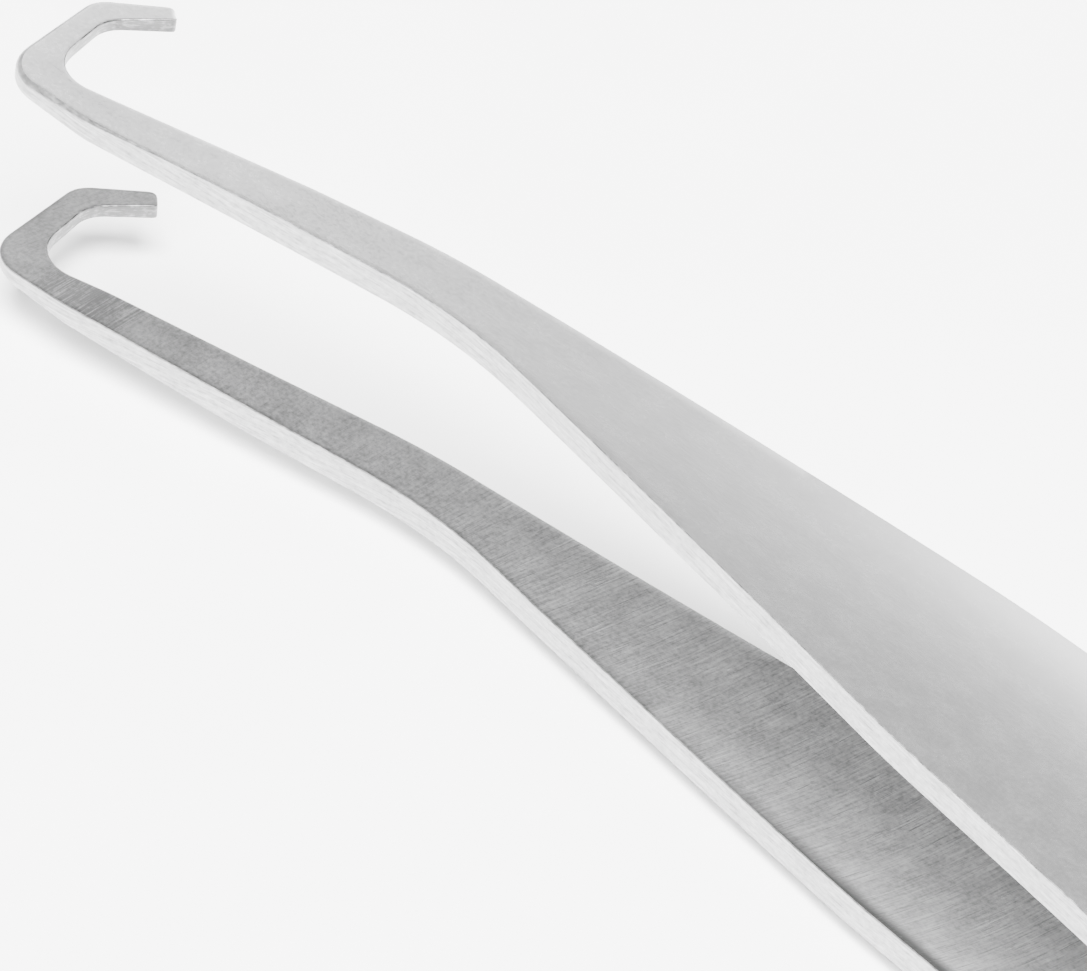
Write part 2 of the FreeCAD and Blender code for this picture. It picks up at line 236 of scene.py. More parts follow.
def smooth_through(stations, x):
    """A smooth curve through (x, value) stations, level outside them."""
    xs = [s[0] for s in stations]
    values = [s[1] for s in stations]
    if x <= xs[0]:
        return values[0]
    if x >= xs[-1]:
        return values[-1]
    slopes = [(values[i + 1] - values[i]) / (xs[i + 1] - xs[i]) for i in range(len(xs) - 1)]

    def slope_at(i):
        if i in (0, len(xs) - 1):
            return slopes[min(i, len(slopes) - 1)]
        before, after = xs[i] - xs[i - 1], xs[i + 1] - xs[i]
        return (slopes[i - 1] * after + slopes[i] * before) / (before + after)

    i = next(k for k in range(len(xs) - 1) if x <= xs[k + 1])
    step = xs[i + 1] - xs[i]
    t = (x - xs[i]) / step
    return ((2 * t ** 3 - 3 * t ** 2 + 1) * values[i]
            + (t ** 3 - 2 * t ** 2 + t) * step * slope_at(i)
            + (3 * t ** 2 - 2 * t ** 3) * values[i + 1]
            + (t ** 3 - t ** 2) * step * slope_at(i + 1))


RISES = [(x, rise) for x, rise, _ in STATIONS]
CURVATURES = [(x, 1 / crown if crown else 0.0) for x, _, crown in STATIONS]


def between(stations, x):
    """Straight runs through (x, value) stations."""
    for (x0, v0), (x1, v1) in zip(stations, stations[1:]):
        if x <= x1:
            return v0 + (v1 - v0) * max(0.0, x - x0) / (x1 - x0)
    return stations[-1][1]


def inner_height(x, y):
    """Height of the inner face of the closed arm above the plane between the arms."""
    return smooth_through(RISES, x) - y * y * smooth_through(CURVATURES, x) / 2


def thickness(x):
    return between(THICKNESS_STATIONS, x)


FLEX_START_X = 134.0    # the arm is level with the heel behind this line
FLEX_END_X = 2 * FLEX_X - FLEX_START_X


def flex_share(x):
    """How much of the arm's turn about its flex line a point at x takes part in."""
    t = min(1.0, max(0.0, (FLEX_START_X - x) / (FLEX_START_X - FLEX_END_X)))
    return t * t * (3 - 2 * t)


def sprung_open(x, z):
    """Turns a point of the closed upper arm about its flex line, as far as it takes part."""
    angle = OPEN_ANGLE * flex_share(x)
    dx, dz = x - FLEX_X, z - FLEX_HEIGHT
    return (FLEX_X + dx * math.cos(angle) + dz * math.sin(angle),
            FLEX_HEIGHT - dx * math.sin(angle) + dz * math.cos(angle))


# -------------------------------------------------------------------------- arm mesh

ACROSS = 12             # faces across an arm's inner or outer face
ROUNDING = 4            # faces in the soft edge between two of its sides
# the last region gets a thin dark line of painted shade
OUTER, EDGE, INNER, PAINTED_SHADE = 0, 1, 2, 3
HOOK_SPANS = (16, 30, 34)       # rungs from tip to elbow, to root and to the neck
BLADE_RUNGS = 150
HEEL_RUNGS = 50
ROUND_END_RUNGS = 24
ONTO_WALL = [(k + 1) / ROUNDING for k in range(ROUNDING)]
OFF_WALL = [1 - k / ROUNDING for k in range(ROUNDING)]
TIP_RUNGS = 4
TIP_ROUNDING = 0.3      # over this length the tip rounds off
TIP_FIRST_STEP = 0.3    # share of a step at which the first rung of the tip stands
NEAR_TIP_CORNER = 0.5   # plan radii of the two corners of the tip
FAR_TIP_CORNER = 0.15
CRISP_EDGE = 0.06       # radius of most edges
NEAR_OUTER_EDGES = ((5.0, 0.30), (14.0, CRISP_EDGE), (HEEL_END_X, CRISP_EDGE))
NEAR_OUTER_SHARE = 0.4  # the most of the sheet's thickness that such an edge takes
PAINTED_SHADE_END_X = 5.2      # the throat of the hook has a dark line of painted shade along its rims
STROKE_LEANS = ((28.0, 0.2), (40.0, 0.0))   # slope of the centre line that strokes follow


def inward(heading, side):
    """The unit normal that points into the arm; side is 1 on the near side."""
    return Vector((-heading.y, heading.x)) * side


def corner_inset(distance, radius):
    """How far a round corner of the tip draws a side in, so far along from its start."""
    short = max(0.0, radius - distance)
    return radius - math.sqrt(radius ** 2 - short ** 2)


def outline_rung(near_at, far_at, fullness=1.0):
    """A rung: near point and its inward normal, far point and its normal, fullness.

    fullness falls below 1 only where the tip rounds off towards its end.
    """
    near, near_heading = NEAR.at(near_at)
    far, far_heading = FAR.at(far_at)
    near_normal, far_normal = inward(near_heading, 1), inward(far_heading, -1)
    near += near_normal * corner_inset(near_at, NEAR_TIP_CORNER)
    far += far_normal * corner_inset(far_at, FAR_TIP_CORNER)
    return near, near_normal, far, far_normal, fullness


def arm_rungs():
    """All rungs of an arm from its tip to the end of its heel."""
    rungs = []
    for k in range(TIP_RUNGS):
        lean = math.pi / 2 * (k + TIP_FIRST_STEP) / TIP_RUNGS
        along = TIP_ROUNDING * (1 - math.cos(lean))
        rungs.append(outline_rung(along, along, math.sin(lean)))

    near_keys = [TIP_ROUNDING, *NEAR.corner_middles[:2], NEAR.distance_at_x(HOOK_END_X)]
    far_keys = [TIP_ROUNDING, *FAR.corner_middles[:2], FAR.distance_at_x(HOOK_END_X)]
    for i, count in enumerate(HOOK_SPANS):
        for k in range(count):
            t = k / count
            rungs.append(outline_rung(near_keys[i] + (near_keys[i + 1] - near_keys[i]) * t,
                                      far_keys[i] + (far_keys[i + 1] - far_keys[i]) * t))
    for k in range(BLADE_RUNGS):
        x = HOOK_END_X + (FLEX_X - HOOK_END_X) * k / BLADE_RUNGS
        rungs.append(outline_rung(NEAR.distance_at_x(x), FAR.distance_at_x(x)))

    centre_x = HEEL_END_X - HEEL_HALF_WIDTH
    for k in range(HEEL_RUNGS):
        x = FLEX_X + (centre_x - FLEX_X) * k / HEEL_RUNGS
        rungs.append((Vector((x, -HEEL_HALF_WIDTH)), Vector((0, 1)),
                      Vector((x, HEEL_HALF_WIDTH)), Vector((0, -1)), 1.0))
    for k in range(ROUND_END_RUNGS + 1):
        angle = math.pi / 2 * k / ROUND_END_RUNGS
        out = Vector((math.sin(angle), math.cos(angle)))
        arm = out * HEEL_HALF_WIDTH
        rungs.append((Vector((centre_x + arm.x, -arm.y)), Vector((-out.x, out.y)),
                      Vector((centre_x + arm.x, arm.y)), -out, 1.0))
    return rungs


def section(rung):
    """The closed section at a rung: (plan point, height, region) in order.

    It runs along the inner face from near to far, up the far edge, back along the outer
    face and down the near edge. region names the face that starts at the point.
    """
    near, near_normal, far, far_normal, fullness = rung
    near_outer = min(between(NEAR_OUTER_EDGES, near.x), thickness(near.x) * NEAR_OUTER_SHARE)
    # the far rims in the hook's throat get the line of painted shade
    far_rim = PAINTED_SHADE if far.x < PAINTED_SHADE_END_X else EDGE
    points = []

    def height_of(plan, outer, radius):
        """Height of a face, drawn in where the tip rounds off."""
        drawn_in = radius * (1 - fullness)
        height = inner_height(plan.x, plan.y)
        return height + thickness(plan.x) - drawn_in if outer else height + drawn_in

    def face(near_radius, far_radius, outer, rim):
        start, end = near + near_normal * near_radius, far + far_normal * far_radius
        for k in range(ACROSS + 1):
            t = 1 - k / ACROSS if outer else k / ACROSS
            plan = start.lerp(end, t)
            radius = near_radius + (far_radius - near_radius) * t
            region = rim if k == ACROSS else OUTER if outer else INNER
            points.append((plan, height_of(plan, outer, radius), region))

    def soft_edge(point, normal, radius, outer, leans, rim):
        """Points of a rounded edge; a lean of 0 is on the face and 1 on the wall."""
        level = height_of(point + normal * radius, outer, radius)
        for lean in leans:
            angle = math.pi / 2 * lean
            plan = point + normal * radius * (1 - fullness * math.sin(angle))
            fall = radius * fullness * (1 - math.cos(angle))
            height = level - fall if outer else level + fall
            region = EDGE if lean == 1 and leans == ONTO_WALL else rim
            points.append((plan, height, region))

    face(CRISP_EDGE, CRISP_EDGE, False, far_rim)
    soft_edge(far, far_normal, CRISP_EDGE, False, ONTO_WALL, far_rim)
    soft_edge(far, far_normal, CRISP_EDGE, True, OFF_WALL, far_rim)
    face(near_outer, CRISP_EDGE, True, EDGE)
    soft_edge(near, near_normal, near_outer, True, ONTO_WALL, EDGE)
    soft_edge(near, near_normal, CRISP_EDGE, False, OFF_WALL, EDGE)
    return points


def arm_mesh(name, side):
    """One whole arm, tip to heel; side is 1 for the upper arm and -1 for the lower."""
    rungs = arm_rungs()
    mesh = bpy.data.meshes.new(name)
    work = bmesh.new()
    strokes = work.loops.layers.uv.new("strokes")
    margins = work.loops.layers.uv.new("margins")
    rings, marks = [], []
    travel = 0.0
    middle = (rungs[0][0] + rungs[0][2]) / 2
    for rung in rungs:
        near, far = rung[0], rung[2]
        here = (near + far) / 2
        travel += (here - middle).length
        middle = here
        lean = between(STROKE_LEANS, middle.x)
        ring, ring_marks = [], []
        for plan, height, region in section(rung):
            x, z = sprung_open(plan.x, height)
            ring.append(work.verts.new(TOOL @ Vector((x, plan.y, z * side))))
            on_face = (plan.x + lean * (plan.y - middle.y), plan.y)
            on_wall = (travel, height)
            apart = ((plan - near).length, (plan - far).length)
            ring_marks.append((region, on_face, on_wall, apart))
        rings.append(ring)
        marks.append(ring_marks)

    count = len(rings[0])
    for i in range(len(rings) - 1):
        for j in range(count):
            after = (j + 1) % count
            corners = ((i, j), (i, after), (i + 1, after), (i + 1, j))
            if side < 0:
                corners = corners[::-1]
            face = work.faces.new([rings[a][b] for a, b in corners])
            face.smooth = True
            region = marks[i][j][0]
            face.material_index = region
            for loop, (a, b) in zip(face.loops, corners):
                _, on_face, on_wall, apart = marks[a][b]
                spot = on_face if region in (OUTER, INNER) else on_wall
                loop[strokes].uv = Vector(spot) * MM
                loop[margins].uv = Vector(apart) * MM
    outer_start = ACROSS + 1 + 2 * ROUNDING
    outer_end = outer_start + ACROSS
    cap = [(k, outer_end - k, outer_end - k - 1, k + 1) for k in range(ACROSS)]
    cap.append((ACROSS, *range(outer_start, ACROSS, -1)))
    cap.append((0, *range(count - 1, outer_end - 1, -1)))
    for corners in cap:
        if side < 0:
            corners = corners[::-1]
        face = work.faces.new([rings[0][b] for b in corners])
        face.material_index = EDGE
        face.smooth = True
        for loop in face.loops:
            loop[strokes].uv = loop.vert.co.y, loop.vert.co.z
    bmesh.ops.remove_doubles(work, verts=work.verts, dist=1e-7)
    bmesh.ops.dissolve_degenerate(work, edges=work.edges, dist=1e-8)
    work.to_mesh(mesh)
    work.free()
    piece = bpy.data.objects.new(name, mesh)
    bpy.context.scene.collection.objects.link(piece)
    return piece


def even_shading(piece):
    """Weights the normals by area, so that flat faces stay flat beside soft edges."""
    weighted = piece.modifiers.new("even shading", "WEIGHTED_NORMAL")
    weighted.mode = "FACE_AREA"
    weighted.weight = 90
    weighted.keep_sharp = True


# ------------------------------------------------------------------------- materials

class Socket:
    """A node socket that can be used in an expression."""

    def __init__(self, tree, socket):
        self.tree, self.socket = tree, socket

    def maths(self, operation, *values):
        return node(self.tree, "ShaderNodeMath", {"operation": operation}, dict(enumerate(values)))

    def __add__(self, other):
        return self.maths("ADD", self, other)

    def __radd__(self, other):
        return self.maths("ADD", other, self)

    def __sub__(self, other):
        return self.maths("SUBTRACT", self, other)

    def __rsub__(self, other):
        return self.maths("SUBTRACT", other, self)

    def __mul__(self, other):
        return self.maths("MULTIPLY", self, other)

    def __rmul__(self, other):
        return self.maths("MULTIPLY", other, self)


def node(tree, kind, settings, inputs, output=0):
    """Adds a node, sets it up, fills or links its sockets and returns one output."""
    made = tree.nodes.new(kind)
    for name, value in settings.items():
        setattr(made, name, value)
    for name, value in inputs.items():
        if isinstance(value, Socket):
            tree.links.new(value.socket, made.inputs[name])
        else:
            made.inputs[name].default_value = value
    return Socket(tree, made.outputs[output])


class Steel:
    """A steel finish in the making: its node tree and the blade's stroke coordinates."""

    def __init__(self, name, metallic):
        self.material = bpy.data.materials.new(name)
        self.material.use_nodes = True
        self.tree = self.material.node_tree
        self.shader = next(n for n in self.tree.nodes if n.type == "BSDF_PRINCIPLED")
        self.shader.inputs["Metallic"].default_value = metallic

    def add(self, kind, settings, inputs, output=0):
        return node(self.tree, kind, settings, inputs, output)

    def uv(self, name):
        return self.add("ShaderNodeUVMap", {"uv_map": name}, {})

    def part(self, vector, index):
        return self.add("ShaderNodeSeparateXYZ", {}, {0: vector}, output=index)

    def stretched(self, vector, along, across, offset=0.0):
        """Scales the stroke coordinates: scales per millimetre along and across."""
        return self.add("ShaderNodeMapping", {"vector_type": "POINT"},
                        {"Vector": vector, "Location": (offset, offset, 0.0),
                         "Scale": (along / MM, across / MM, 1.0)})

    def noise(self, vector, scale, detail, roughness=0.5, distortion=0.0):
        return self.add("ShaderNodeTexNoise", {"noise_dimensions": "3D"},
                        {"Vector": vector, "Scale": scale, "Detail": detail,
                         "Roughness": roughness, "Distortion": distortion})

    def spread(self, value, low, high, out_low=0.0, out_high=1.0):
        """Maps a range of values to another, clamped."""
        return self.add("ShaderNodeMapRange", {"clamp": True, "interpolation_type": "SMOOTHSTEP"},
                        {"Value": value, "From Min": low, "From Max": high,
                         "To Min": out_low, "To Max": out_high})

    def tint(self, factor, dark, light):
        return self.add("ShaderNodeMix", {"data_type": "RGBA"},
                        {0: factor, 6: (*dark, 1.0), 7: (*light, 1.0)}, output=2)

    def bump(self, height, strength, distance):
        return self.add("ShaderNodeBump", {}, {"Height": height, "Strength": strength,
                                               "Distance": distance})

    def feed(self, **inputs):
        for name, value in inputs.items():
            self.tree.links.new(value.socket, self.shader.inputs[name.replace("_", " ")])


def satin_outer():
    """Fine satin grind of the outer faces, more mottled and scratched near the hook."""
    steel = Steel("satin_outer", 1.0)
    place = steel.uv("strokes")
    front = steel.spread(steel.part(place, 0), 46 * MM, 14 * MM)
    strokes = steel.noise(steel.stretched(place, 0.8, 11.0), 1.0, 4.0, 0.6)
    grain = steel.noise(steel.stretched(place, 3.6, 4.6, 3.1), 1.0, 4.0, 0.6)
    cloud = steel.noise(steel.stretched(place, 0.5, 0.9, 7.3), 1.0, 3.0, 0.5)
    scratches = steel.noise(steel.stretched(place, 1.1, 20.0, 5.7), 1.0, 2.0, 0.5)
    scratched = steel.spread(scratches, 0.60, 0.68) * front
    mottle = (grain - 0.5) * (0.25 + front * 1.6) + (cloud - 0.5) * (0.07 + front * 0.7)
    tip = steel.spread(steel.part(place, 0), 6 * MM, 0.0)
    tone = 0.5 + mottle + (strokes - 0.5) * 0.5 - scratched * 0.3 + tip * 0.25
    steel.feed(Base_Color=steel.tint(tone, (0.64, 0.64, 0.643), (0.95, 0.95, 0.952)),
               Roughness=steel.spread(cloud * 0.5 + grain * 0.5, 0.35, 0.65, 0.22, 0.28),
               Normal=steel.bump(strokes * 0.5 + grain * 0.5 - scratched * 0.5, 0.15, 0.02 * MM))
    return steel.material


def ground_edge():
    """Ground edges: bright, with lengthwise streaks, mottling and a few small nicks."""
    steel = Steel("ground_edge", 1.0)
    place, margins = steel.uv("strokes"), steel.uv("margins")
    # painted shade: the far walls in the hook's throat are painted darker, and mottled more
    throat = (steel.spread(steel.part(margins, 0), 0.3 * MM, 0.8 * MM)
              * steel.spread(steel.part(place, 0), 11 * MM, 7 * MM))
    streaks = steel.noise(steel.stretched(place, 0.45, 9.0), 1.0, 5.0, 0.65, 0.6)
    grain = steel.noise(steel.stretched(place, 2.2, 4.5, 4.0), 1.0, 4.0, 0.65)
    nicks = steel.noise(steel.stretched(place, 1.3, 4.2, 9.0), 1.0, 4.0, 0.7)
    marks = steel.spread(nicks, 0.66, 0.73)
    tone = 0.55 + (streaks - 0.5) * 2.0 + (grain - 0.5) * (1.5 + throat) - marks * 0.8
    steel.feed(Base_Color=steel.tint(tone - throat * 0.5,
                                     (0.20, 0.20, 0.201), (0.54, 0.54, 0.542)),
               Roughness=steel.spread(grain, 0.3, 0.7, 0.34, 0.48),
               Normal=steel.bump(streaks * 0.6 + grain * 0.4 - marks * 0.6, 0.25, 0.03 * MM))
    return steel.material


def cross_ground_shaded_inner():
    """Inner faces: ground straight across behind the hook and on the blade, and darker,
    partly from the rougher grind and partly as painted shade between the arms.

    The neck between is smoother and mottled. Painted shade darkens a strip along the near
    edge, widest on the blade, and a painted highlight brightens a band beside it.
    """
    steel = Steel("cross_ground_shaded_inner", 1.0)
    place, margins = steel.uv("strokes"), steel.uv("margins")
    along, near = steel.part(place, 0), steel.part(margins, 0)
    patch = steel.spread(along, 5 * MM, 7 * MM) * steel.spread(along, 12.5 * MM, 10.5 * MM)
    blade = steel.spread(along, 26 * MM, 38 * MM)
    lines = steel.noise(steel.stretched(place, 9.0, 0.35), 1.0, 5.0, 0.65, 0.25)
    scratches = steel.noise(steel.stretched(place, 14.0, 0.35, 5.0), 1.0, 2.0, 0.5, 0.2)
    grain = steel.noise(steel.stretched(place, 4.0, 4.0, 2.0), 1.0, 4.0, 0.65)
    blotch = steel.noise(steel.stretched(place, 0.5, 0.45, 8.0), 1.0, 4.0, 0.6)
    ground = patch * 1.6 + blade * steel.spread(blotch, 0.40, 0.60, 0.5, 1.2) + 0.35
    deep = steel.spread(scratches, 0.60, 0.70) * ground
    long = steel.noise(steel.stretched(place, 6.5, 0.16, 6.0), 1.0, 3.0, 0.6)
    bright = steel.spread(long, 0.58, 0.70) * ground
    rear = steel.spread(along, 40 * MM, 72 * MM)
    # painted shade: a dark strip along the near edge, and a thin dark line at the edge all along
    strip = (steel.spread(near, 1.1 * MM, 0.25 * MM) * rear * rear
             + steel.spread(near, 0.35 * MM, 0.08 * MM) * 0.3)
    # painted highlight: a brighter band beside the dark strip
    trough_sheen = (steel.spread(near, 0.6 * MM, 1.4 * MM) * steel.spread(near, 4.2 * MM, 1.8 * MM)
              * rear)
    tone = (0.5 + (lines - 0.5) * ground * 1.5 + (grain - 0.5) * 1.5 + (blotch - 0.5) * 1.1
            + bright * 0.35 - deep * 0.5 - patch * 0.35 + trough_sheen * 0.1)
    # the inner faces' dark range is partly painted shade between the arms
    base = steel.tint(tone, (0.15, 0.15, 0.151), (0.39, 0.39, 0.392))
    # the dark strip of painted shade goes over the base colour
    steel.feed(Base_Color=steel.add("ShaderNodeMix", {"data_type": "RGBA"},
                                    {0: strip, 6: base, 7: (0.03, 0.03, 0.03, 1.0)}, output=2),
               Roughness=steel.spread(grain, 0.35, 0.65, 0.29, 0.38),
               Normal=steel.bump(lines * ground * 0.5 + grain * 0.4 - deep * 0.4,
                                 0.35, 0.03 * MM))
    return steel.material


def painted_crease_shade():
    """Painted shade: the thin dark line along a rim or in a crease."""
    steel = Steel("painted_crease_shade", 1.0)
    place = steel.uv("strokes")
    broken = steel.noise(steel.stretched(place, 1.2, 2.0), 1.0, 4.0, 0.6)
    steel.feed(Base_Color=steel.tint(steel.spread(broken, 0.42, 0.66),
                                     (0.09, 0.09, 0.09), (0.32, 0.32, 0.321)),
               Roughness=steel.spread(broken, 0.3, 0.7, 0.40, 0.55))
    return steel.material


def dressed_rivet():
    """Rivet heads dressed flush: faint circles about each head's own centre."""
    steel = Steel("dressed_rivet", 1.0)
    place = steel.uv("strokes")
    rings = steel.noise(steel.stretched(place, 22.0, 0.4), 1.0, 3.0)
    cloud = steel.noise(steel.stretched(place, 0.8, 0.8, 2.0), 1.0, 3.0)
    steel.feed(Base_Color=steel.tint(steel.spread(rings * 0.6 + cloud * 0.4, 0.36, 0.62),
                                     (0.52, 0.52, 0.522), (0.68, 0.68, 0.682)),
               Roughness=steel.spread(cloud, 0.35, 0.65, 0.36, 0.46),
               Normal=steel.bump(rings, 0.12, 0.02 * MM))
    return steel.material


def pale_floor():
    """A matt white table with the faintest unevenness."""
    paper = Steel("pale_floor", 0.0)
    place = paper.add("ShaderNodeTexCoord", {}, {}, output=3)
    grain = paper.noise(place, 60.0, 4.0)
    paper.feed(Base_Color=paper.tint(paper.spread(grain, 0.3, 0.7),
                                     (0.90, 0.90, 0.90), (0.93, 0.93, 0.93)),
               Roughness=paper.spread(grain, 0.3, 0.7, 0.85, 0.9))
    return paper.material


# ---------------------------------------------------------------------------- sizes

class TweezersLooks(bpy.types.PropertyGroup):
    """Sizes of the heel's pieces that a user might change"""
    soft_edge: bpy.props.FloatProperty(
        name="Soft edge", description="Radius that softens the edges of the spacer",
        default=0.12 * MM, min=0.01 * MM, unit="LENGTH")
    rivet_radius: bpy.props.FloatProperty(
        name="Rivet head", description="Radius of a dressed rivet head",
        default=2.2 * MM, min=0.5 * MM, unit="LENGTH")


class TweezersStage(bpy.types.PropertyGroup):
    """Where the camera stands and what it looks at"""
    azimuth: bpy.props.FloatProperty(
        name="Azimuth", description="Camera's turn about the vertical",
        default=math.radians(45.71), subtype="ANGLE")
    elevation: bpy.props.FloatProperty(
        name="Elevation", description="Camera's height above the horizon",
        default=math.radians(33.79), subtype="ANGLE")
    roll: bpy.props.FloatProperty(
        name="Roll", description="Camera's turn about its own axis",
        default=math.radians(6.29), subtype="ANGLE")
    distance: bpy.props.FloatProperty(
        name="Distance", description="From the camera to the point it looks at",
        default=0.3582, unit="LENGTH")
    lens: bpy.props.FloatProperty(
        name="Lens", description="Focal length in millimetres", default=243.1)
    target: bpy.props.FloatVectorProperty(
        name="Target", description="Point the camera looks at, in the tool frame in millimetres",
        default=(36.1, 1.16, -2.38), size=3)


# ------------------------------------------------------------------------- operators

def finish(mesh, *makers):
    """Gives a mesh its materials in order, and makes each of them only once."""
    for make in makers:
        mesh.materials.append(bpy.data.materials.get(make.__name__) or make())


def arm_piece(name, side, nodes):
    """One arm, finished, that takes the place of its hidden CAD pieces."""
    piece = arm_mesh(name, side)
    finish(piece.data, satin_outer, ground_edge, cross_ground_shaded_inner, painted_crease_shade)
    even_shading(piece)
    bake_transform(piece)
    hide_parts(*nodes)


class TWEEZERS_OT_upper_arm(bpy.types.Operator):
    """Makes the upper arm, one strip from its hooked tip to the heel"""
    bl_idname = "tweezers.upper_arm"
    bl_label = "Upper arm"

    def execute(self, context):
        arm_piece("upper_arm_strip", 1, ("upper_arm", "upper_arm_heel"))
        return {"FINISHED"}


class TWEEZERS_OT_lower_arm(bpy.types.Operator):
    """Makes the lower arm, the mirror image of the upper arm"""
    bl_idname = "tweezers.lower_arm"
    bl_label = "Lower arm"

    def execute(self, context):
        arm_piece("lower_arm_strip", -1, ("lower_arm", "lower_arm_heel"))
        return {"FINISHED"}


SPACER_FRONT_X = 138.0
SPACER_HALF_HEIGHT = 1.8
SPACER_INSET = 0.05
SPACER_ROUND_STEPS = 48
SPACER_RIM_LEANS = (0.02, 0.999)    # a softened rim's normals point up by this much
RIVETS_X = (143.0, 150.0)
RIVET_PROFILE = (
    # share of the radius, height above the arm's outer face in millimetres
    (1.0, -0.25), (1.0, -0.012), (0.985, 0.004), (0.955, 0.014), (0.85, 0.020), (0.6, 0.026),
    (0.3, 0.029),
)
RIVET_PEAK = 0.030
RIVET_TURNS = 64
RIVET_RIM_RINGS = 3     # the outer rings of a head get a dark line of painted shade


class TWEEZERS_OT_spacer(bpy.types.Operator):
    """Makes the spacer block between the two heels"""
    bl_idname = "tweezers.spacer"
    bl_label = "Heel spacer"

    def execute(self, context):
        edge = context.scene.tweezers_looks.soft_edge / MM
        half = HEEL_HALF_WIDTH - SPACER_INSET
        centre_x = HEEL_END_X - HEEL_HALF_WIDTH
        outline = [Vector((SPACER_FRONT_X, half)), Vector((SPACER_FRONT_X, -half))]
        for k in range(SPACER_ROUND_STEPS + 1):
            angle = -math.pi / 2 + math.pi * k / SPACER_ROUND_STEPS
            outline.append(Vector((centre_x + half * math.cos(angle), half * math.sin(angle))))
        work = bmesh.new()
        bottom = [work.verts.new(Vector((p.x, p.y, -SPACER_HALF_HEIGHT))) for p in outline]
        floor = work.faces.new(bottom[::-1])
        raised = bmesh.ops.extrude_face_region(work, geom=[floor])["geom"]
        top = [v for v in raised if isinstance(v, bmesh.types.BMVert)]
        bmesh.ops.translate(work, verts=top, vec=(0, 0, 2 * SPACER_HALF_HEIGHT))
        bmesh.ops.recalc_face_normals(work, faces=work.faces)
        sharp = [e for e in work.edges if e.calc_face_angle(0) > math.radians(60)]
        bmesh.ops.bevel(work, geom=sharp, offset=edge, segments=ROUNDING, profile=0.5,
                        affect="EDGES")
        strokes = work.loops.layers.uv.new("strokes")
        least, most = SPACER_RIM_LEANS
        for face in work.faces:
            face.smooth = True
            # the softened rims where the spacer meets the arms get the dark line of painted shade
            face.material_index = int(least < abs(face.normal.z) < most)
            for loop in face.loops:
                spot = loop.vert.co
                across = spot.z if abs(face.normal.z) < 0.5 else spot.y
                along = spot.x if abs(face.normal.x) < 0.8 else spot.y
                loop[strokes].uv = along * MM, across * MM
        bmesh.ops.transform(work, matrix=TOOL, verts=work.verts)
        mesh = bpy.data.meshes.new("heel_spacer_block")
        work.to_mesh(mesh)
        work.free()
        piece = bpy.data.objects.new("heel_spacer_block", mesh)
        context.scene.collection.objects.link(piece)
        finish(mesh, ground_edge, painted_crease_shade)
        even_shading(piece)
        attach(piece, "heel")
        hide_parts("heel_spacer")
        return {"FINISHED"}


class TWEEZERS_OT_rivets(bpy.types.Operator):
    """Makes the dressed heads of both rivets on both faces of the heel"""
    bl_idname = "tweezers.rivets"
    bl_label = "Heel rivets"

    def execute(self, context):
        radius = context.scene.tweezers_looks.rivet_radius / MM
        work = bmesh.new()
        strokes = work.loops.layers.uv.new("strokes")
        for x in RIVETS_X:
            for side in (1, -1):
                self.head(work, strokes, x, side, radius)
        mesh = bpy.data.meshes.new("heel_rivet_heads")
        work.to_mesh(mesh)
        work.free()
        piece = bpy.data.objects.new("heel_rivet_heads", mesh)
        context.scene.collection.objects.link(piece)
        finish(mesh, dressed_rivet, painted_crease_shade)
        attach(piece, "heel")
        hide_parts("heel_rivets")
        return {"FINISHED"}

    def head(self, work, strokes, x, side, radius):
        """One closed, slightly domed head, turned about its own axis."""
        rings = []
        for share, height in RIVET_PROFILE:
            ring = []
            for k in range(RIVET_TURNS):
                angle = 2 * math.pi * k / RIVET_TURNS
                spot = Vector((x + share * radius * math.cos(angle),
                               share * radius * math.sin(angle),
                               (FLEX_HEIGHT + height) * side))
                ring.append(work.verts.new(TOOL @ spot))
            rings.append((ring, share * radius * MM))
        peak = work.verts.new(TOOL @ Vector((x, 0, (FLEX_HEIGHT + RIVET_PEAK) * side)))
        faces = []
        for index, ((low, low_at), (high, high_at)) in enumerate(zip(rings, rings[1:])):
            for k in range(RIVET_TURNS):
                after = (k + 1) % RIVET_TURNS
                faces.append(((low[k], low[after], high[after], high[k]),
                              (low_at, low_at, high_at, high_at), k, index < RIVET_RIM_RINGS))
        last, last_at = rings[-1]
        for k in range(RIVET_TURNS):
            faces.append(((last[k], last[(k + 1) % RIVET_TURNS], peak),
                          (last_at, last_at, 0.0), k, False))
        for corners, radii, k, on_rim in faces:
            face = work.faces.new(corners if side > 0 else corners[::-1])
            face.smooth = True
            # the rim rings get the dark line of painted shade
            face.material_index = int(on_rim)
            spots = radii if side > 0 else radii[::-1]
            for loop, at in zip(face.loops, spots):
                loop[strokes].uv = at, k * 0.1 * MM
        base = rings[0][0]
        work.faces.new(base[::-1] if side > 0 else base)


FLOOR_HALF = 1.5
FLOOR_GAP = 0.05 * MM   # keeps the floor just clear of the blades
HORIZON_GLOW = 2.9      # the light tent is brighter low down than overhead
OVERHEAD_GLOW = 0.65
DARK_SIDE_SHARE = 0.15  # its side towards the open front right glows less


